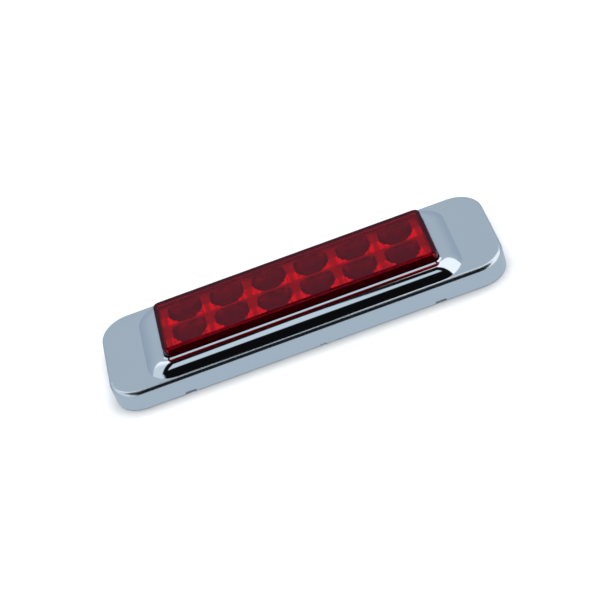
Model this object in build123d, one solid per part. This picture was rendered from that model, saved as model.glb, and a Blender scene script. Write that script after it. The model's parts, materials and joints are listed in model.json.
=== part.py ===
from build123d import *
import os
from math import acos, asin, cos, degrees, radians, sin, sqrt

# High-mount brake lamp, lying on its mounting face. Millimetres.
# X runs along the lamp, Y across it, +Z out of the vehicle's panel.
# The origin is the centre of the mounting face, at the underside of the gasket.

# ---- cover ----
end_margin = 34.9            # from the lens to the cover's ends
side_margin = 14.0           # from the lens to its long sides
cover_corner_r = 17.0
cover_wall = 2.4
cover_gap_below = 0.6        # skirt edge above the panel
plate_top = 12.8             # flat land at the cover's ends
skirt_edge_r = 2.0
surround_rise = 4.4          # raised surround above the land
surround_inset = 2.0         # from the foot of the surround to the cover's long sides
rim_width = 1.0              # sloping ring round the window
rim_rise = 0.46              # of the rim, at the window
lip_extra = 0.8              # how much wider than the rim the wall round the window is
window_gap = 0.7
slot_length = 6.5            # slots for a flat tool, under the skirt's edge
slot_height = 1.2
slot_x = 73.0
nick_width = 1.0
nick_height = 0.9
nick_x = (3.2, 5.2)

# ---- lens ----
lens_length = 160.2
lens_width = 44.0
lens_top = 23.7
lens_corner_r = 3.6
lens_edge_r = 0.8
lens_wall = 2.2
lens_face = 2.2
foot_reach = 4.2             # foot of the lens, outside its wall
foot_height = 2.2

# ---- gasket and tray ----
gasket_thickness = 1.5
gasket_width = 5.0
gasket_inset = 0.5           # from the tray's edge
tray_gap = 0.6               # between tray and skirt
tray_floor = 2.5
tray_rim_width = 1.6
tray_rim_height = 2.0
panel_hole_r = 2.4
panel_hole_end = 9.0         # from the tray's ends
panel_hole_side = 13.0       # from its long sides

# ---- housing ----
housing_gap = 0.4            # between housing and the opening in the tray
housing_wall = 2.0
housing_floor = 1.8
flange_height = 3.2
flange_reach = 1.0           # flange beyond the foot of the lens
spigot_height = 1.3          # wall that rises inside the lens
spigot_gap = 0.3
seal_width = 2.0
seal_height = 1.4
seal_inset = 1.0             # from the edge of the lens foot
ear_length = 10.0
ear_width = 11.0
ear_thickness = 2.0
ear_y = 13.5
boss_height = 1.8

# ---- screws ----
ear_screw_r = 1.5
ear_screw_head_r = 3.0
ear_screw_head = 1.9
ear_screw_length = 5.4
board_screw_r = 1.1
board_screw_head_r = 2.2
board_screw_head = 1.5
board_screw_length = 4.4
board_screw_end = 5.4        # from the housing's end walls to the outer screws
screw_gap = 0.1              # round a screw, in every hole that it passes
recess_width = 0.8
recess_depth = 0.7

# ---- circuit board and what is on it ----
board_thickness = 1.6
board_lift = 3.0             # above the housing's floor
board_gap = 0.8
column_count = 6
column_edge = 2.6            # from the lens wall to the first column's share of the length
row_edge = 1.1               # the same for the rows
led_side = 7.6
led_height = 2.6
dome_r = 2.5
dome_straight = 0.6
lead_r = 0.28
lead_gap = 0.12
lead_spread = 2.54           # from the centre of a lamp to each of its four leads
lead_below = 1.2
resistor_r = 1.15
resistor_length = 6.3
resistor_reach = 5.1         # from its middle to each bent lead
diode_r = 1.3
diode_length = 5.0
diode_reach = 4.4
capacitor_r = 2.5
capacitor_height = 5.0
cable_hole_r = 3.6           # through the board, above the gland
terminal_x = 6.4
terminal_width = 2.0
terminal_thickness = 0.8
terminal_height = 4.0

# ---- reflector ----
reflector_gap = 0.3          # to the inside of the lens wall
reflector_clear = 1.9        # below the inside of the lens face
reflector_wall = 1.4
collar_wall = 0.6            # wall above the reflector's face, all round
collar_gap = 0.3             # from it to the inside of the lens face
cup_r = 10.0
cup_wall = 1.2
cup_hole_r = 3.2
cup_lift = 0.2               # above the body of the lamp in it

# ---- gland and vent ----
gland_r = 6.0
gland_neck_r = 4.5
gland_bore_r = 2.5
gland_flange = 1.1
vent_x = -60.0
vent_r = 5.0
vent_neck_r = 3.0
vent_cap = 0.9
vent_hole_r = 0.8

# ---- clips and blades that hold the cover ----
blade_width = 9.0
blade_thickness = 1.6
blade_above_clip = 0.5
clip_gap = 0.05
clip_sheet = 0.5
clip_height = 4.6
clip_lead = 0.8              # how far each leaf opens outwards at its top
clip_foot = 4.5              # foot beyond the leaves, at each end
clip_side_x = 58.0
stake_r = 0.95
stake_head_r = 1.6
stake_head = 0.7

# ---- heights and half sizes worked out from the above ----
tray_low = gasket_thickness
tray_top = tray_low + tray_floor
flange_top = tray_top + flange_height
floor_low = tray_low
floor_top = floor_low + housing_floor
board_low = floor_top + board_lift
board_top = board_low + board_thickness
cover_length = lens_length + 2 * end_margin
cover_width = lens_width + 2 * side_margin
lens_x = lens_length / 2
lens_y = lens_width / 2
foot_x = lens_x + foot_reach
foot_y = lens_y + foot_reach
inner_x = lens_x - lens_wall
inner_y = lens_y - lens_wall
inner_r = max(lens_corner_r - lens_wall, 0.8)
spigot_x = inner_x - spigot_gap
spigot_y = inner_y - spigot_gap
cavity_x = spigot_x - housing_wall
cavity_y = spigot_y - housing_wall
flange_x = foot_x + flange_reach
flange_y = foot_y + flange_reach
tray_x = cover_length / 2 - cover_wall - tray_gap
tray_y = cover_width / 2 - cover_wall - tray_gap
tray_r = cover_corner_r - cover_wall - tray_gap
panel_hole_x = tray_x - panel_hole_end
panel_hole_y = tray_y - panel_hole_side
rim_top = plate_top + surround_rise
surround_run = side_margin - surround_inset - window_gap - rim_width
surround_r = (surround_run ** 2 + surround_rise ** 2) / (2 * surround_rise)
spigot_top = flange_top + spigot_height
reflector_top = lens_top - lens_face - reflector_clear
cup_low = board_top + led_height + cup_lift
ear_low = tray_top + boss_height
ear_top = ear_low + ear_thickness
ear_x = flange_x + ear_length / 2
end_clip_x = (flange_x + ear_length + tray_x - tray_rim_width) / 2
side_clip_y = (flange_y + tray_y - tray_rim_width) / 2
blade_low = tray_top + clip_sheet + blade_above_clip
stake_offset = (blade_width + clip_foot) / 2
column_pitch = 2 * (inner_x - column_edge) / column_count
row_pitch = inner_y - row_edge
column_x = [(i - (column_count - 1) / 2) * column_pitch for i in range(column_count)]
row_y = (-row_pitch / 2, row_pitch / 2)
board_screw_x = (-cavity_x + board_screw_end, -column_pitch, column_pitch, cavity_x - board_screw_end)
resistor_x = (-2 * column_pitch, -column_pitch, column_pitch, 2 * column_pitch)
led_places = [(x, y) for y in row_y for x in column_x]
clip_places = [(-clip_side_x, -side_clip_y, 0), (clip_side_x, -side_clip_y, 0),
               (-clip_side_x, side_clip_y, 0), (clip_side_x, side_clip_y, 0),
               (-end_clip_x, 0, 90), (end_clip_x, 0, 90)]


def slab(half_x, half_y, corner, low, high):
    """A rounded rectangle, extruded from low to high."""
    return Pos(0, 0, low) * extrude(RectangleRounded(2 * half_x, 2 * half_y, corner), high - low)


def block(x0, x1, y0, y1, z0, z1):
    return Pos((x0 + x1) / 2, (y0 + y1) / 2, (z0 + z1) / 2) * Box(x1 - x0, y1 - y0, z1 - z0)


def post(x, y, radius, low, high):
    return Pos(x, y, (low + high) / 2) * Cylinder(radius, high - low)


def ring(profile, half_x, half_y, corner):
    """Carries a section round a rounded rectangle. Its x is the distance outside that outline."""
    along_x = half_x - corner
    along_y = half_y - corner
    turn = revolve(Pos(corner, 0, 0) * profile, Axis.Z, 90)
    side = Pos(half_x, along_y, 0) * extrude(profile, 2 * along_y, dir=(0, -1, 0))
    front = Rot(0, 0, 90) * (Pos(half_y, along_x, 0) * extrude(profile, 2 * along_x, dir=(0, -1, 0)))
    half = side + front
    for quarter, (x, y) in enumerate([(along_x, along_y), (-along_x, along_y), (-along_x, -along_y),
                                      (along_x, -along_y)]):
        half += Pos(x, y, 0) * (Rot(0, 0, 90 * quarter) * turn)
    half += Rot(0, 0, 180) * side
    half += Rot(0, 0, 180) * front
    return half


def section(*edges):
    """A closed face in the XZ plane from edges in order."""
    return make_face(Curve() + list(edges))


def line(*points):
    return Polyline(*[(x, 0, z) for x, z in points])


def arc(centre_x, centre_z, radius, start, end):
    """An arc in the XZ plane. Its angles are in degrees, from straight up towards +X."""
    def on(angle):
        return (centre_x + radius * sin(radians(angle)), 0, centre_z + radius * cos(radians(angle)))
    return ThreePointArc(on(start), on((start + end) / 2), on(end))


def pan_screw(x, y, shank_r, head_r, head, length, seat):
    """A pan-head screw that stands on seat, with a cross recess."""
    body = post(x, y, shank_r, seat - length, seat) + post(x, y, head_r, seat, seat + head)
    body = fillet(body.edges().filter_by(GeomType.CIRCLE).group_by(Axis.Z)[-1], head / 2)
    reach = head_r * 0.62
    for half_x, half_y in ((reach, recess_width / 2), (recess_width / 2, reach)):
        body -= block(x - half_x, x + half_x, y - half_y, y + half_y, seat + head - recess_depth, seat + head)
    return body


# ---- cover: plate, skirt and the convex surround round the window ----
def make_bezel():
    half_x, half_y = cover_length / 2, cover_width / 2
    window = (lens_x + window_gap, lens_y + window_gap, lens_corner_r + window_gap)
    centre_z = rim_top - surround_r
    foot = rim_width + surround_run
    overlap = plate_top - cover_wall / 2
    filled = slab(half_x, half_y, cover_corner_r, cover_gap_below, plate_top)
    filled = fillet(filled.edges().group_by(Axis.Z)[-1], min(skirt_edge_r, cover_wall * 0.9))
    filled += ring(section(
        line((rim_width, rim_top), (0, rim_top + rim_rise), (0, overlap), (foot, overlap), (foot, plate_top)),
        arc(rim_width, centre_z, surround_r, degrees(asin(surround_run / surround_r)), 0)), *window)

    under = plate_top - cover_wall
    inside_r = surround_r - cover_wall
    start = degrees(asin(lip_extra / inside_r))
    end = degrees(acos((under - centre_z) / inside_r))
    lip_x, lip_z = rim_width + lip_extra, centre_z + inside_r * cos(radians(start))
    end_x = rim_width + inside_r * sin(radians(end))
    inside = section(line((lip_x, lip_z), (lip_x, under - 1), (end_x, under - 1), (end_x, under)),
                     arc(rim_width, centre_z, inside_r, end, start))
    shell = filled - slab(half_x - cover_wall, half_y - cover_wall, cover_corner_r - cover_wall,
                          cover_gap_below, under)
    shell -= ring(inside, *window)
    shell -= slab(*window, cover_gap_below, rim_top + 1)
    for x, y, turn in clip_places:
        blade = Pos(x, y, (blade_low + rim_top) / 2) * Rot(0, 0, turn) * Box(
            blade_width, blade_thickness, rim_top - blade_low)
        shell += blade & filled
    for side in (-1, 1):
        edge_y = side * (half_y - cover_wall / 2)
        for x, width, height in [(-slot_x, slot_length, slot_height), (slot_x, slot_length, slot_height)] + [
                (x, nick_width, nick_height) for x in nick_x]:
            shell -= Pos(side * -x, edge_y, cover_gap_below + height / 2) * Box(width, 2 * cover_wall, height)
    return shell


# ---- lens: a box open at the back, with a foot that stands on the housing's flange ----
def make_lens():
    body = slab(lens_x, lens_y, lens_corner_r, flange_top, lens_top)
    body = fillet(body.edges().group_by(Axis.Z)[-1], lens_edge_r)
    body += slab(foot_x, foot_y, lens_corner_r + foot_reach, flange_top, flange_top + foot_height)
    return body - slab(inner_x, inner_y, inner_r, flange_top, lens_top - lens_face)


# ---- mounting gasket and tray ----
def make_gasket():
    half_x, half_y = tray_x - gasket_inset, tray_y - gasket_inset
    corner = tray_r - gasket_inset
    inner = max(corner - gasket_width, 1.0)
    return slab(half_x, half_y, corner, 0, gasket_thickness) - slab(
        half_x - gasket_width, half_y - gasket_width, inner, 0, gasket_thickness)


def make_tray():
    tray = slab(tray_x, tray_y, tray_r, tray_low, tray_top + tray_rim_height)
    tray -= slab(tray_x - tray_rim_width, tray_y - tray_rim_width, tray_r - tray_rim_width,
                 tray_top, tray_top + tray_rim_height)
    tray -= slab(spigot_x + housing_gap, spigot_y + housing_gap, inner_r, tray_low, tray_top)
    for x in (-panel_hole_x, panel_hole_x):
        for y in (-panel_hole_y, panel_hole_y):
            tray -= post(x, y, panel_hole_r, tray_low, tray_top)
    for x in (-ear_x, ear_x):
        for y in (-ear_y, ear_y):
            tray += post(x, y, ear_screw_head_r, tray_top, ear_low)
            tray -= post(x, y, ear_screw_r, ear_top - ear_screw_length, ear_low)
    for x, y, turn in clip_places:
        for side in (-1, 1):
            stake = post(side * stake_offset, 0, stake_r, tray_top, tray_top + clip_sheet)
            stake += post(side * stake_offset, 0, stake_head_r, tray_top + clip_sheet,
                          tray_top + clip_sheet + stake_head)
            tray += Pos(x, y, 0) * Rot(0, 0, turn) * stake
    return tray


def make_clip(x, y, turn):
    """A U of sheet steel with two feet. Its leaves open outwards at the top."""
    leaf_in = blade_thickness / 2 + clip_gap
    leaf_out = leaf_in + clip_sheet
    low, bend, high = tray_top, tray_top + clip_height * 0.7, tray_top + clip_height
    clip = block(-blade_width / 2 - clip_foot, blade_width / 2 + clip_foot, -leaf_out, leaf_out,
                 low, low + clip_sheet)
    leaf = Polyline((0, leaf_in, low), (0, leaf_in, bend), (0, leaf_in + clip_lead, high),
                    (0, leaf_out + clip_lead, high), (0, leaf_out, bend), (0, leaf_out, low), (0, leaf_in, low))
    leaf = Pos(-blade_width / 2, 0, 0) * extrude(make_face(leaf), blade_width, dir=(1, 0, 0))
    clip += leaf
    clip += Rot(0, 0, 180) * leaf
    for side in (-1, 1):
        clip -= post(side * stake_offset, 0, stake_r, low, low + clip_sheet)
    return Pos(x, y, 0) * Rot(0, 0, turn) * clip


# ---- housing: box, flange with a seal groove, and four ears ----
def seal_ring():
    half_x, half_y = foot_x - seal_inset, foot_y - seal_inset
    corner = lens_corner_r + foot_reach - seal_inset
    return slab(half_x, half_y, corner, flange_top - seal_height, flange_top) - slab(
        half_x - seal_width, half_y - seal_width, corner - seal_width, flange_top - seal_height, flange_top)


def make_housing():
    housing = slab(spigot_x, spigot_y, inner_r, floor_low, spigot_top)
    housing += slab(flange_x, flange_y, lens_corner_r + foot_reach + flange_reach, tray_top, flange_top)
    for x in (-ear_x, ear_x):
        for y in (-ear_y, ear_y):
            inward = -1 if x > 0 else 1
            root = x + inward * (ear_length / 2 + 1.0)
            tip = x - inward * ear_length / 2
            housing += block(min(root, tip), max(root, tip), y - ear_width / 2, y + ear_width / 2,
                             ear_low, ear_top)
            housing -= post(x, y, ear_screw_r + screw_gap, ear_low, ear_top)
    housing -= slab(cavity_x, cavity_y, max(inner_r - housing_wall, 0.8), floor_top, spigot_top)
    for x in board_screw_x:
        housing += post(x, 0, board_screw_head_r, floor_top, board_low)
        housing -= post(x, 0, board_screw_r, board_top - board_screw_length, board_low)
    housing -= seal_ring()
    housing -= post(0, 0, gland_neck_r, floor_low, floor_top)
    housing -= post(vent_x, 0, vent_neck_r, floor_low, floor_top)
    return housing


def make_ear_screws():
    return [pan_screw(x, y, ear_screw_r, ear_screw_head_r, ear_screw_head, ear_screw_length, ear_top)
            for x in (-ear_x, ear_x) for y in (-ear_y, ear_y)]


# ---- circuit board and its parts ----
def lead_places(x, y):
    return [(x + i * lead_spread, y + j * lead_spread) for i in (-1, 1) for j in (-1, 1)]


def axial_places():
    """Middle, half distance between leads, radius, length: for each part that lies on the board along Y."""
    parts = {f"resistor_{n}": (x, row_y[n % 2], resistor_reach, resistor_r, resistor_length)
             for n, x in enumerate(resistor_x, 1)}
    parts["protection_diode"] = (0, row_y[1], diode_reach, diode_r, diode_length)
    return parts


def make_board():
    board = slab(cavity_x - board_gap, cavity_y - board_gap, 1.0, board_low, board_top)
    holes = [(x, 0, board_screw_r + screw_gap) for x in board_screw_x] + [(0, 0, cable_hole_r)]
    for place in led_places:
        holes += [(x, y, lead_r + lead_gap) for x, y in lead_places(*place)]
    for x, y, reach, _, _ in axial_places().values():
        holes += [(x, y + side * reach, lead_r + lead_gap) for side in (-1, 1)]
    holes += [(side * lead_spread / 2, row_y[0], lead_r + lead_gap) for side in (-1, 1)]
    cutters = [post(x, y, radius, board_low, board_top) for x, y, radius in holes]
    for side in (-1, 1):
        cutters.append(block(side * terminal_x - terminal_width / 2, side * terminal_x + terminal_width / 2,
                             -terminal_thickness / 2, terminal_thickness / 2, board_low, board_top))
    return board - cutters


def make_board_screws():
    return [pan_screw(x, 0, board_screw_r, board_screw_head_r, board_screw_head, board_screw_length, board_top)
            for x in board_screw_x]


def make_led(x, y):
    led = block(x - led_side / 2, x + led_side / 2, y - led_side / 2, y + led_side / 2,
                board_top, board_top + led_height)
    led = chamfer(led.edges().filter_by(Axis.Z).sort_by(Axis.X)[-1], led_side / 6)
    dome_low = board_top + led_height + dome_straight
    led += post(x, y, dome_r, board_top + led_height, dome_low)
    led += Pos(x, y, dome_low) * Sphere(dome_r, arc_size1=0)
    for lead_x, lead_y in lead_places(x, y):
        led += post(lead_x, lead_y, lead_r, board_low - lead_below, board_top)
    return led


def make_axial(x, y, reach, radius, length):
    """A part that lies along Y on the board, with a lead bent down at each end."""
    height = board_top + radius
    part = Pos(x, y, height) * Rot(90, 0, 0) * Cylinder(radius, length)
    bend = radius * 0.6
    for side in (-1, 1):
        run = FilletPolyline((x, y + side * (length / 2 - 0.5), height), (x, y + side * reach, height),
                             (x, y + side * reach, board_low - lead_below), radius=bend)
        start = Plane(origin=run @ 0, z_dir=run % 0)
        part += sweep(start * Circle(lead_r), path=run)
    return part


def make_capacitor():
    y = row_y[0]
    can = post(0, y, capacitor_r, board_top, board_top + capacitor_height)
    can = fillet(can.edges().group_by(Axis.Z)[-1], capacitor_r * 0.2)
    for side in (-1, 1):
        can += post(side * lead_spread / 2, y, lead_r, board_low - lead_below, board_top)
    return can


def make_terminals():
    return [block(side * terminal_x - terminal_width / 2, side * terminal_x + terminal_width / 2,
                  -terminal_thickness / 2, terminal_thickness / 2, board_low, board_top + terminal_height)
            for side in (-1, 1)]


# ---- reflector: twelve parabolic cups in a tray with a skirt and a collar ----
def bowl(offset):
    """A parabolic bowl, its wall moved outwards by offset, reaching up to the reflector's face."""
    depth = reflector_top - cup_low
    steps = [0, 0.25, 0.5, 0.75, 1]
    radii = [sqrt(cup_hole_r ** 2 + (cup_r ** 2 - cup_hole_r ** 2) * step) for step in steps]
    wall = Spline(*[(radius + offset, 0, cup_low + depth * step) for radius, step in zip(radii, steps)])
    profile = section(wall, line((cup_r + offset, reflector_top), (0, reflector_top), (0, cup_low),
                                 (cup_hole_r + offset, cup_low)))
    return revolve(profile, Axis.Z)


def make_reflector():
    half_x, half_y = inner_x - reflector_gap, inner_y - reflector_gap
    tray = slab(half_x, half_y, inner_r, spigot_top, reflector_top)
    tray -= slab(half_x - reflector_wall, half_y - reflector_wall, max(inner_r - reflector_wall, 0.8),
                 spigot_top, reflector_top - reflector_wall)
    outside, inside = bowl(cup_wall), bowl(0)
    limit = slab(half_x, half_y, inner_r, board_top, reflector_top)
    for x, y in led_places:
        tray += (Pos(x, y, 0) * outside) & limit
    for x, y in led_places:
        tray -= Pos(x, y, 0) * inside
    collar_top = lens_top - lens_face - collar_gap
    tray += slab(half_x, half_y, inner_r, reflector_top, collar_top) - slab(
        half_x - collar_wall, half_y - collar_wall, max(inner_r - collar_wall, 0.3), reflector_top, collar_top)
    return tray


# ---- rubber gland for the lead, and the breather in the housing's floor ----
def make_gland():
    gland = post(0, 0, gland_r, floor_low - gland_flange, floor_low)
    gland += post(0, 0, gland_neck_r, floor_low, floor_top)
    gland += post(0, 0, gland_r, floor_top, floor_top + gland_flange)
    return gland - post(0, 0, gland_bore_r, floor_low - gland_flange, floor_top + gland_flange)


def make_vent():
    vent = post(vent_x, 0, vent_r, floor_low - vent_cap, floor_low)
    vent = fillet(vent.edges().group_by(Axis.Z)[0], vent_cap / 2)
    vent += post(vent_x, 0, vent_neck_r, floor_low, floor_top)
    return vent - post(vent_x, 0, vent_hole_r, floor_low - vent_cap, floor_top)


# ---- every node, then one file for each ----
nodes = {
    "bezel": make_bezel(),
    "lens": make_lens(),
    "lens_seal": seal_ring(),
    "mounting_gasket": make_gasket(),
    "base_plate": make_tray(),
    "lamp_housing": make_housing(),
    "housing_screws": make_ear_screws(),
    "circuit_board": make_board(),
    "board_screws": make_board_screws(),
    "surge_capacitor": make_capacitor(),
    "board_terminals": make_terminals(),
    "reflector": make_reflector(),
    "wire_gland": make_gland(),
    "vent_plug": make_vent(),
}
for name, place in axial_places().items():
    nodes[name] = make_axial(*place)
for number, (x, y) in enumerate(led_places, 1):
    nodes[f"led_{number}"] = make_led(x, y)
for number, place in enumerate(clip_places, 1):
    nodes[f"spring_clip_{number}"] = make_clip(*place)

os.makedirs("parts", exist_ok=True)
for name, shape in nodes.items():
    solid = Compound(children=shape) if isinstance(shape, list) else shape
    export_step(solid, f"parts/{name}.step")
    print(name, round(solid.volume, 1))
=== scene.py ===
import bpy, bmesh, json, math
from mathutils import Matrix, Vector


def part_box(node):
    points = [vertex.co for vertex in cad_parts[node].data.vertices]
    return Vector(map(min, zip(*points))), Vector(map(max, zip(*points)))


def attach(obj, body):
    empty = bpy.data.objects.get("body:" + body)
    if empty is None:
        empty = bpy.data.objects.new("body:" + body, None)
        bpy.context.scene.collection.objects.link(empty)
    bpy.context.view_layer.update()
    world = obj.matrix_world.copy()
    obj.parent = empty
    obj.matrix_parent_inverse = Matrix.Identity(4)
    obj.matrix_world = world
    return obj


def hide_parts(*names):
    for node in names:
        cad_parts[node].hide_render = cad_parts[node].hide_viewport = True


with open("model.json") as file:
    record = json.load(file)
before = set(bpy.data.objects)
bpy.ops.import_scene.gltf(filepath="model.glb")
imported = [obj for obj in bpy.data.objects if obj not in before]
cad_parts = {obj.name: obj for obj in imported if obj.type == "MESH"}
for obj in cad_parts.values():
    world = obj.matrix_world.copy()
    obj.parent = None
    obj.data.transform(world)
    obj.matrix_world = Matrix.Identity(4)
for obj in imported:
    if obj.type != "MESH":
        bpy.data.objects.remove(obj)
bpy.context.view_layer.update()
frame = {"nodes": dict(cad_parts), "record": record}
nodes = frame["nodes"]
scene = bpy.context.scene
mm = 0.001


class Wire:  # a shader socket that takes Python operators
    def __init__(self, tree, socket):
        self.tree, self.socket = tree, socket

    def math(self, operation, *others):
        return self.tree.node("ShaderNodeMath", {"operation": operation}, (self, *others))

    def __add__(self, other): return self.math("ADD", other)
    def __radd__(self, other): return self.math("ADD", other)
    def __sub__(self, other): return self.math("SUBTRACT", other)
    def __rsub__(self, other): return (self * -1) + other
    def __mul__(self, other): return self.math("MULTIPLY", other)
    def __rmul__(self, other): return self.math("MULTIPLY", other)
    def __truediv__(self, other): return self.math("DIVIDE", other)
    def abs(self): return self.math("ABSOLUTE")
    def most(self, other): return self.math("MAXIMUM", other)

    def rise(self, low, high):  # 0 below low, 1 above high, smooth between
        return self.tree.node("ShaderNodeMapRange", {"interpolation_type": "SMOOTHSTEP"}, (self, low, high, 0.0, 1.0))

    def past(self, edge):  # 0 before an edge and 1 beyond it; an edge is its place and its softness
        return self.rise(edge[0] - edge[1], edge[0] + edge[1])

    def between(self, first, second):
        return self.past(first) * (1 - self.past(second))

    def axes(self):
        split = self.tree.raw("ShaderNodeSeparateXYZ", {}, (self,))
        return [Wire(self.tree, out) for out in split.outputs]


class Shader:  # the node tree of one material or world
    def __init__(self, owner):
        owner.use_nodes = True
        self.links = owner.node_tree.links
        self.nodes = owner.node_tree.nodes
        self.nodes.clear()

    def raw(self, kind, settings, values=(), **named):
        made = self.nodes.new(kind)
        for key, value in settings.items():
            setattr(made, key, value)
        for key, value in list(enumerate(values)) + list(named.items()):
            self.put(made.inputs[key], value)
        return made

    def node(self, kind, settings, values=(), out=0, **named):
        return Wire(self, self.raw(kind, settings, values, **named).outputs[out])

    def put(self, socket, value):
        if isinstance(value, Wire):
            self.links.new(value.socket, socket)
        elif value is not None:
            socket.default_value = value

    def place(self, kind="Object"):
        return self.node("ShaderNodeTexCoord", {}, out=kind)

    def noise(self, scale, detail=3.0, roughness=0.5, at=None):
        return self.node("ShaderNodeTexNoise", {}, out="Fac", Vector=at or self.place(), Scale=scale,
                         Detail=detail, Roughness=roughness)

    def stretch(self, vector, scale):
        return self.node("ShaderNodeMapping", {}, (vector, None, None, scale))

    def mix(self, share, first, second):
        made = self.raw("ShaderNodeMix", {"data_type": "RGBA"})
        for index, value in ((0, share), (6, first), (7, second)):     # the colour sockets, which share their names
            self.put(made.inputs[index], value)
        return Wire(self, made.outputs[2])

    def bump(self, height, distance, strength):
        return self.node("ShaderNodeBump", {}, Height=height, Distance=distance, Strength=strength)

    def surface(self, **values):
        named = {key.replace("_", " "): value for key, value in values.items()}
        return self.node("ShaderNodeBsdfPrincipled", {}, **named)

    def finish(self, shader, socket="Surface"):
        target = self.nodes.new("ShaderNodeOutputWorld" if socket == "World" else "ShaderNodeOutputMaterial")
        self.links.new(shader.socket, target.inputs["Surface"])


def newMaterial(name, build):
    material = bpy.data.materials.new(name)
    shader = Shader(material)
    shader.finish(build(shader))
    return material


def rgb(red, green, blue):
    return (red, green, blue, 1.0)


# above the front, a touch to the right, and rolled
cameraView = {
    "target": (-0.37 * mm, 9.28 * mm, 0.0),
    "elevation": 37.83,
    "azimuth": 1.577,
    "roll": 20.892,
    "distance": 1.00185,
    "lens": 105.57,
}


def makeCamera(view):
    tilt, turn, roll = (math.radians(view[key]) for key in ("elevation", "azimuth", "roll"))
    back = Vector((math.sin(turn) * math.cos(tilt), -math.cos(turn) * math.cos(tilt), math.sin(tilt)))
    side = Vector((0, 0, 1)).cross(back).normalized()
    up = back.cross(side)
    right = side * math.cos(roll) - up * math.sin(roll)
    top = side * math.sin(roll) + up * math.cos(roll)
    data = bpy.data.cameras.new("shotCamera")
    data.lens, data.sensor_width = view["lens"], 36.0
    data.clip_start, data.clip_end = 0.01, 20.0
    camera = bpy.data.objects.new("shotCamera", data)
    turned = Matrix((right, top, back)).transposed().to_4x4()
    camera.matrix_world = Matrix.Translation(Vector(view["target"]) + back * view["distance"]) @ turned
    scene.collection.objects.link(camera)
    scene.camera = camera


makeCamera(cameraView)
print("camera set")


# the bright and dark areas that the plating mirrors; each edge is its place and its softness
studio = {
    "wallLow": rgb(0.34, 0.42, 0.51),
    "wall": rgb(0.43, 0.505, 0.58),
    "table": rgb(0.45, 0.53, 0.61),
    "dark": rgb(0.004, 0.004, 0.005),
    "box": rgb(0.60, 0.71, 0.78),
    "leftBox": rgb(0.66, 0.75, 0.82),
    "rightBox": rgb(1.05, 1.10, 1.15),
    "backdrop": rgb(1, 1, 1),        # what the camera sees instead
    # degrees up from the front horizon, over the top to the back
    "seam": (-90.0, 1.0),            # below it the count carries on from 180
    "tableFront": (-18.0, 3.0),
    "boxFront": (90.5, 1.5),
    "boxBack": (121.0, 1.5),
    "wallTop": (135.0, 1.5),
    "besideTop": (135.5, 1.5),
    "tableBack": (200.0, 5.0),
    # shares of the way up
    "wallRise": (0.30, 0.30),
    "lowTop": (0.15, 0.10),
    # shares of the way aside
    "middle": (0.0, 0.03),
    "besideAside": (0.67, 0.05),
    "lowAside": (0.525, 0.075),
    "cornerInner": (0.52, 0.06),
    "cornerOuter": (0.90, 0.06),
    # shares of the way to the back
    "leftTurn": (0.51, 0.11),
    "cornerBack": (-0.20, 0.10),
    # along the slanted ends of the boxes
    "slant": 1.19,
    "slantRight": 0.18,              # added on the right
    "nearerRight": 0.173,
    "boxEnd": (0.47, 0.02),
    "besideStart": (0.757, 0.03),    # a dark streak lies between the overhead box and those beside it
}


def makeWorld(look):
    world = bpy.data.worlds.new("studio")
    scene.world = world
    shader = Shader(world)
    x, y, z = shader.place("Generated").axes()
    aside = x.abs()
    over = z.math("ARCTAN2", y * -1) * (180 / math.pi)
    over = over + (1 - over.past(look["seam"])) * 360
    wall = shader.mix(z.past(look["wallRise"]), look["wallLow"], look["wall"])
    right = x.past(look["middle"])
    slanted = y + aside * (look["slant"] + right * look["slantRight"]) + right * look["nearerRight"]
    low = 1 - z.past(look["lowTop"])
    front = 1 - y.past(look["cornerBack"])

    colour = shader.mix(over.past(look["wallTop"]), look["dark"], wall)
    overhead = over.between(look["boxFront"], look["boxBack"]) * (1 - slanted.past(look["boxEnd"]))
    colour = shader.mix(overhead, colour, look["box"])
    beside = slanted.past(look["besideStart"]).most(aside.past(look["besideAside"]))
    beside = beside * (1 - over.past(look["besideTop"]))
    left = shader.mix(y.past(look["leftTurn"]), look["leftBox"], look["rightBox"])
    colour = shader.mix(beside, colour, shader.mix(right, left, look["rightBox"]))
    colour = shader.mix(low * aside.past(look["lowAside"]) * (1 - front), colour, wall)
    corner = aside.between(look["cornerInner"], look["cornerOuter"]) * front * low
    colour = shader.mix(corner, colour, look["rightBox"])
    table = (1 - over.past(look["tableFront"])).most(over.past(look["tableBack"]))
    colour = shader.mix(table, colour, look["table"])
    seen = shader.node("ShaderNodeLightPath", {}, out="Is Camera Ray")
    colour = shader.mix(seen, colour, look["backdrop"])
    shader.finish(shader.node("ShaderNodeBackground", {}, (colour, 1.0)), "World")


def makeFloor():
    mesh = bpy.data.meshes.new("floor")
    grid = bmesh.new()
    bmesh.ops.create_grid(grid, x_segments=1, y_segments=1, size=4.0)
    grid.to_mesh(mesh)
    grid.free()
    floor = bpy.data.objects.new("floor", mesh)
    scene.collection.objects.link(floor)
    mesh.materials.append(newMaterial("floorPaper", lambda s: s.surface(
        Base_Color=rgb(0.93, 0.93, 0.93), Roughness=0.9)))
    floor.visible_glossy = False


def makeLamp(name, place, size, power):
    data = bpy.data.lights.new(name, "AREA")
    data.energy, data.size, data.shape = power, size, "SQUARE"
    lamp = bpy.data.objects.new(name, data)
    lamp.location = place
    lamp.rotation_euler = (-Vector(place)).to_track_quat("-Z", "Y").to_euler()
    lamp.visible_glossy = False
    scene.collection.objects.link(lamp)


makeWorld(studio)
makeFloor()
makeLamp("topLight", (0.0, 0.15, 1.6), 1.8, 30.0)
scene.view_settings.view_transform = "Standard"
print("studio lit")


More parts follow.
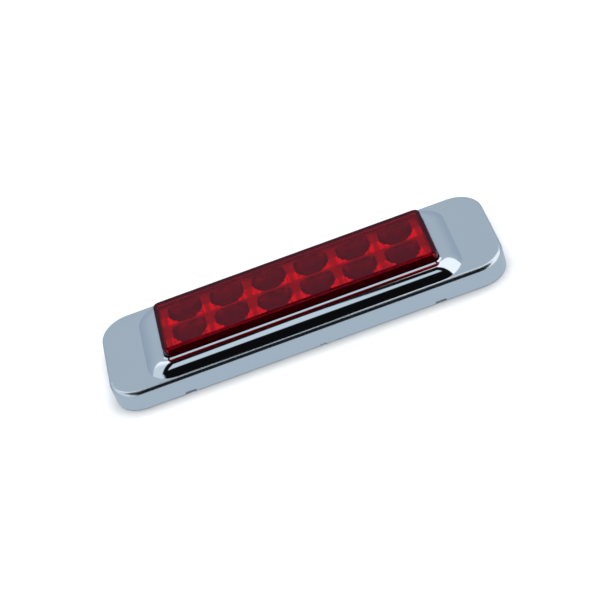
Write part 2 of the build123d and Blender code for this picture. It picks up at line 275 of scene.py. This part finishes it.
# twelve scoops, round at the front and squarer at the back; its finish follows these sizes too
reflector = {
    "columns": 6,
    "pitchX": 25.1 * mm,
    "pitchY": 18.7 * mm,
    "scoopX": 10.0 * mm,
    "scoopY": 9.1 * mm,
    "holeRadius": 3.2 * mm,
    "backPower": 5.0,        # of the outline: 2 is an ellipse, more is squarer
    "frontPower": 1.7,
    "sheet": 0.6 * mm,
    "corner": 1.1 * mm,
    "collar": 1.6 * mm,      # wall above the sheet, all round
    "lift": 0.1 * mm,        # of the scoops above the edge of the skirt
    "turns": 64,
    "steps": 12,
    "cornerSteps": 4,
    "smoothAngle": 30.0,
}


def brightPlating(s):
    haze = s.noise(38.0, detail=4.0, roughness=0.6)
    fine = s.noise(900.0, detail=2.0)
    ripple = s.noise(26.0, detail=1.0)
    handled = s.place().axes()[2].between((10.9 * mm, 0.015 * mm), (12.78 * mm, 0.015 * mm))   # edge of the skirt
    return s.surface(
        Base_Color=s.mix(haze, rgb(0.76, 0.81, 0.85), rgb(0.80, 0.84, 0.88)),
        Metallic=1.0,
        Roughness=0.035 + haze * 0.03 + fine * 0.01 + handled * 0.2,
        Normal=s.bump(ripple, distance=0.2 * mm, strength=0.12))


def redAcrylic(s):
    return s.surface(Base_Color=rgb(0.86, 0.004, 0.014), Roughness=0.0, IOR=1.42, Transmission_Weight=0.97,
                     Specular_Tint=rgb(0.30, 0.10, 0.40))


# the painted highlights between the scoops (near-white, unmetallised fir-tree flares standing in for reflections), in
# shares of their pitch, and where each tone begins
metal = {
    "shift": 0.9 * mm,               # of the flares, up from the edge of their row
    "width": 0.34,                   # half of it, at the near edge of the row
    "taper": 0.35,
    "tiers": 5.0,                    # stepped like a fir tree
    "tierStep": 0.11,
    "side": (0.0, 0.03),
    "top": (0.41, 0.05),
    "spine": (0.055, 0.035),         # duller middle of each painted highlight
    "blotch": (0.5, 0.15),
    "streak": (0.425, 0.125),
    "sheet": (0.25 * mm, 0.15 * mm),         # below the face
    "bowl": (4.75 * mm, 3.25 * mm),          # below the face too; where the painted shade deep in the scoops fades in
    "outside": (0.5 * mm, 0.05 * mm),        # in from the outer walls
    # painted highlight: near white, with a duller grey in its middle; the metal is turned off under it
    "paintedHighlight": rgb(0.98, 0.98, 0.98),
    "dullPaintedHighlight": rgb(0.42, 0.42, 0.42),
    "flatTones": (rgb(0.22, 0.22, 0.23), rgb(0.50, 0.50, 0.51)),
    "bowlTones": (rgb(0.20, 0.20, 0.24), rgb(0.72, 0.72, 0.76)),
    # painted shade at the bottom of each scoop
    "bowlFloorShade": rgb(0.05, 0.05, 0.10),
    "black": rgb(0.008, 0.008, 0.008),
}


def inward(limit, edge):  # an edge measured back from a limit
    return limit - edge[0], edge[1]


# the reflector's finish: painted highlights on the sheet between the scoops, and painted shade deep in the scoops
def metallised(s):
    x, y, z = s.place().axes()
    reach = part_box("reflector")[1]
    face = reach.z - reflector["collar"]
    row = ((y - metal["shift"]) / reflector["pitchY"]).math("FRACT")       # 0 at the near edge of each row
    column = ((x / reflector["pitchX"] + 0.5).math("FRACT") - 0.5).abs()   # 0 between the scoops
    sheet = z.past(inward(face, metal["sheet"]))
    # 1 above the painted shade, 0 deep in the scoops
    depth = z.past(inward(face, metal["bowl"]))
    outside = x.abs().past(inward(reach.x, metal["outside"])).most(y.abs().past(inward(reach.y, metal["outside"])))
    # painted highlight: a stepped fir-tree mask on the sheet between the scoops, standing in for reflections
    width = metal["width"] - row * metal["taper"] - (row * metal["tiers"]).math("FRACT") * metal["tierStep"]
    highlightMask = (1 - (column - width).past(metal["side"])) * (1 - row.past(metal["top"])) * sheet
    streaks = s.noise(520.0, detail=2.0, roughness=0.6, at=s.stretch(s.place(), (1.0, 0.16, 1.0)))
    blotch = s.noise(330.0, detail=2.0, roughness=0.6).past(metal["blotch"])
    # the scoops are painted darker towards their floors as shade
    bowl = s.mix(depth, metal["bowlFloorShade"], s.mix(blotch, *metal["bowlTones"]))
    flat = s.mix(streaks, *metal["flatTones"])
    # brighter streaks beside a duller middle, within the painted highlight
    highlightStreaks = column.past(metal["spine"]) * streaks.past(metal["streak"])
    highlightTone = s.mix(highlightStreaks, metal["dullPaintedHighlight"], metal["paintedHighlight"])
    tone = s.mix(highlightMask, s.mix(sheet, bowl, flat), highlightTone)
    return s.surface(
        Base_Color=s.mix(outside, tone, metal["black"]),
        Metallic=1.0 - highlightMask.most(outside),
        Roughness=0.16 + streaks * 0.1 + sheet * 0.2 + outside * 0.3)


def blackPlastic(s):
    grain = s.noise(2600.0, 2.0)
    shade = s.noise(60.0, 3.0)
    return s.surface(
        Base_Color=s.mix(shade, rgb(0.012, 0.012, 0.013), rgb(0.022, 0.022, 0.023)),
        Roughness=0.42 + shade * 0.12,
        Normal=s.bump(grain, 0.00006, 0.5))


def blackRubber(s):
    return s.surface(Base_Color=rgb(0.02, 0.02, 0.02), Roughness=0.7, Normal=s.bump(s.noise(900.0), 0.00005, 0.4))


def foamSkin(s):
    cells = s.node("ShaderNodeTexVoronoi", {}, out="Distance", Vector=s.place(), Scale=1600.0)
    return s.surface(Base_Color=s.mix(cells, rgb(0.02, 0.02, 0.022), rgb(0.05, 0.05, 0.052)),
                     Roughness=0.95, Normal=s.bump(cells, 0.0002, 0.6))


def boardGreen(s):
    return s.surface(Base_Color=s.mix(s.noise(300.0), rgb(0.012, 0.09, 0.03), rgb(0.02, 0.13, 0.05)), Roughness=0.35)


def clearEpoxy(s):
    return s.surface(Base_Color=rgb(0.93, 0.92, 0.88), Roughness=0.05, IOR=1.5, Transmission_Weight=0.8)


def lacquer(red, green, blue):
    def build(s):
        tone = s.noise(500.0)
        return s.surface(Base_Color=s.mix(tone, rgb(red * 0.85, green * 0.85, blue * 0.85), rgb(red, green, blue)),
                         Roughness=0.3 + tone * 0.1)
    return build


def zincSteel(s):
    brushed = s.noise(60.0, 4.0, 0.6, s.stretch(s.place(), (12.0, 1.0, 1.0)))
    return s.surface(Base_Color=s.mix(brushed, rgb(0.55, 0.56, 0.58), rgb(0.68, 0.69, 0.70)), Metallic=1.0,
                     Roughness=0.28 + brushed * 0.12)


finishes = {
    "bright_plating": newMaterial("brightPlating", brightPlating),
    "red_lens": newMaterial("redAcrylic", redAcrylic),
    "black_plastic": newMaterial("blackPlastic", blackPlastic),
    "black_rubber": newMaterial("blackRubber", blackRubber),
    "foam": newMaterial("foamSkin", foamSkin),
    "metallised": newMaterial("metallised", metallised),
    "board": newMaterial("boardGreen", boardGreen),
    "clear_epoxy": newMaterial("clearEpoxy", clearEpoxy),
    "resistor_coat": newMaterial("resistorCoat", lacquer(0.62, 0.50, 0.33)),
    "diode_body": newMaterial("diodeBody", lacquer(0.03, 0.03, 0.03)),
    "capacitor_sleeve": newMaterial("capacitorSleeve", lacquer(0.05, 0.07, 0.16)),
    "tinned_metal": newMaterial("tinnedMetal", zincSteel),
    "zinc_steel": newMaterial("zincSteel", zincSteel),
}
for part in frame["record"]["subparts"]:
    mesh = nodes[part["node"]].data
    mesh.materials.clear()
    mesh.materials.append(finishes[part["material_slot"]])
print("finishes given")


weld = 0.002 * mm            # vertices nearer than this are one
level = 0.0001 * mm          # heights nearer than this are the same


def makePiece(name, work, body, node, material, smoothAngle):
    bmesh.ops.remove_doubles(work, verts=work.verts, dist=weld)
    bmesh.ops.recalc_face_normals(work, faces=work.faces)
    mesh = bpy.data.meshes.new(name)
    work.to_mesh(mesh)
    work.free()
    mesh.materials.append(material)
    mesh.shade_smooth()
    mesh.set_sharp_from_angle(angle=math.radians(smoothAngle))
    piece = bpy.data.objects.new(name, mesh)
    even = piece.modifiers.new("evenNormals", "WEIGHTED_NORMAL")       # keeps the flat faces flat beside the fillets
    even.keep_sharp = True
    scene.collection.objects.link(piece)
    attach(piece, body)
    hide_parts(node)
    return piece


def addCap(work, halfX, halfY, corner, height, segments):  # a rounded rectangle, as one face
    made = bmesh.ops.create_grid(work, x_segments=1, y_segments=1, size=1.0)["verts"]
    bmesh.ops.scale(work, verts=made, vec=(halfX, halfY, 1))
    bmesh.ops.translate(work, verts=made, vec=(0, 0, height))
    bmesh.ops.bevel(work, geom=made, offset=corner, offset_type="OFFSET", affect="VERTICES",
                    segments=segments, profile=0.5, material=-1)
    return max(work.faces, key=lambda face: len(face.verts))


def carryLoop(work, edges, before, after):  # extrudes a rounded outline and reshapes it
    made = bmesh.ops.extrude_edge_only(work, edges=edges)["geom"]
    verts = {item for item in made if isinstance(item, bmesh.types.BMVert)}
    for vert in verts:
        spot = []
        for axis in (0, 1):
            side = math.copysign(1, vert.co[axis])
            turned = (vert.co[axis] - side * (before[axis] - before[2])) / before[2]
            spot.append(side * (after[axis] - after[2]) + turned * after[2])
        vert.co = (*spot, after[3])
    return [item for item in made if isinstance(item, bmesh.types.BMEdge) and verts.issuperset(item.verts)]


def loftLoops(work, edges, rings):  # rings: half length, half width, corner, height
    for before, after in zip(rings, rings[1:]):
        edges = carryLoop(work, edges, before, after)
    return edges


def rimOf(verts):
    return list({edge for vert in verts for edge in vert.link_edges if edge.is_boundary})


# clear red box whose inner face is moulded into small pillows
lens = {
    "topEdge": 0.8 * mm,
    "corner": 3.6 * mm,
    "wall": 2.2 * mm,
    "face": 2.2 * mm,
    "footReach": 4.2 * mm,
    "footHeight": 2.2 * mm,
    "innerCorner": 1.4 * mm,
    "pillowX": 1.3 * mm,
    "pillowY": 2.6 * mm,
    "sagX": 0.09 * mm,
    "sagY": 0.11 * mm,
    "inset": 0.4 * mm,       # plain border round the pillows
    "stepsX": 4,             # of each pillow
    "stepsY": 5,
    "cornerSteps": 10,
    "edgeSteps": 4,
    "smoothAngle": 25.0,
}


def makeLens(size):
    low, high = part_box("lens")
    footX, footY = high.x, high.y
    halfX, halfY = footX - size["footReach"], footY - size["footReach"]
    innerX, innerY = halfX - size["wall"], halfY - size["wall"]
    top, footTop, ceiling = high.z, low.z + size["footHeight"], high.z - size["face"]
    rings = []
    for step in range(size["edgeSteps"] + 1):
        angle = math.pi / 2 * (1 - step / size["edgeSteps"])
        shrink = size["topEdge"] * (1 - math.cos(angle))
        drop = size["topEdge"] * (1 - math.sin(angle))
        rings.append((halfX - shrink, halfY - shrink, size["corner"] - shrink, top - drop))
    rings += [(halfX, halfY, size["corner"], footTop),
              (footX, footY, size["corner"] + size["footReach"], footTop),
              (footX, footY, size["corner"] + size["footReach"], low.z),
              (innerX, innerY, size["innerCorner"], low.z),
              (innerX, innerY, size["innerCorner"], ceiling)]
    work = bmesh.new()
    cap = addCap(work, *rings[0], size["cornerSteps"])
    inside = loftLoops(work, list(cap.edges), rings)

    fieldX, fieldY = innerX - size["inset"], innerY - size["inset"]
    columns, rows = round(2 * fieldX / size["pillowX"]), round(2 * fieldY / size["pillowY"])
    grid = bmesh.ops.create_grid(work, x_segments=columns * size["stepsX"], y_segments=rows * size["stepsY"],
                                 size=1.0)["verts"]
    bmesh.ops.scale(work, verts=grid, vec=(fieldX, fieldY, 1))
    spanX, spanY = 2 * fieldX / columns, 2 * fieldY / rows
    for vert in grid:
        acrossX = (vert.co.x + fieldX) / spanX % 1.0
        acrossY = (vert.co.y + fieldY) / spanY % 1.0
        bulge = size["sagX"] * 4 * acrossX * (1 - acrossX) + size["sagY"] * 4 * acrossY * (1 - acrossY)
        vert.co.z = ceiling - bulge
    bmesh.ops.triangle_fill(work, edges=rimOf(grid) + inside, use_beauty=True, normal=(0, 0, 1))
    return makePiece("lensShell", work, "lamp", "lens", finishes["red_lens"], size["smoothAngle"])


makeLens(lens)
print("lens moulded")


def scoopShare(angle, size):  # distance to the outline as a share of its half sizes
    across, along = abs(math.cos(angle)), abs(math.sin(angle))
    power = size["backPower"] if math.sin(angle) > 0 else size["frontPower"]
    return (across ** power + along ** power) ** (-1 / power)


def addScoop(work, size, centre, top, bottom):
    steps, hole = size["steps"], size["holeRadius"]
    shares = [math.sqrt(step / steps) for step in range(steps + 1)]
    verts = [work.verts.new((1 + share, 0, bottom + (top - bottom) * share * share)) for share in shares]
    edges = [work.edges.new(pair) for pair in zip(verts, verts[1:])]
    bmesh.ops.spin(work, geom=verts + edges, cent=(0, 0, 0), axis=(0, 0, 1), angle=2 * math.pi,
                   steps=size["turns"], use_merge=True)
    ring = [vert for vert in work.verts if not vert.tag]
    for vert in ring:
        vert.tag = True
        angle = math.atan2(vert.co.y, vert.co.x)
        share = vert.co.xy.length - 1
        reach = scoopShare(angle, size)
        rimX, rimY = size["scoopX"] * reach * math.cos(angle), size["scoopY"] * reach * math.sin(angle)
        floorX, floorY = hole * math.cos(angle), hole * math.sin(angle)
        vert.co.x = centre[0] + floorX + (rimX - floorX) * share
        vert.co.y = centre[1] + floorY + (rimY - floorY) * share
    return [edge for vert in ring for edge in vert.link_edges
            if all(abs(end.co.z - top) < level for end in edge.verts)]


def makeReflector(size):
    low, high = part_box("reflector")
    sheet = high.z - size["collar"]
    work = bmesh.new()
    rims = set()
    for row in (-0.5, 0.5):
        for column in range(size["columns"]):
            place = ((column - (size["columns"] - 1) / 2) * size["pitchX"], row * size["pitchY"])
            rims.update(addScoop(work, size, place, sheet, low.z + size["lift"]))
    inner = (high.x - size["sheet"], high.y - size["sheet"], size["corner"] - size["sheet"])
    outer = (high.x, high.y, size["corner"])
    cap = addCap(work, *inner, sheet, size["cornerSteps"])
    edges = list(cap.edges)
    bmesh.ops.delete(work, geom=[cap], context="FACES_ONLY")
    bmesh.ops.triangle_fill(work, edges=list(rims) + edges, use_beauty=True, normal=(0, 0, 1))
    loftLoops(work, edges, [(*inner, sheet), (*inner, high.z), (*outer, high.z), (*outer, low.z)])
    return makePiece("reflectorTray", work, "lamp", "reflector", finishes["metallised"],
                     size["smoothAngle"])


makeReflector(reflector)
print("reflector pressed")
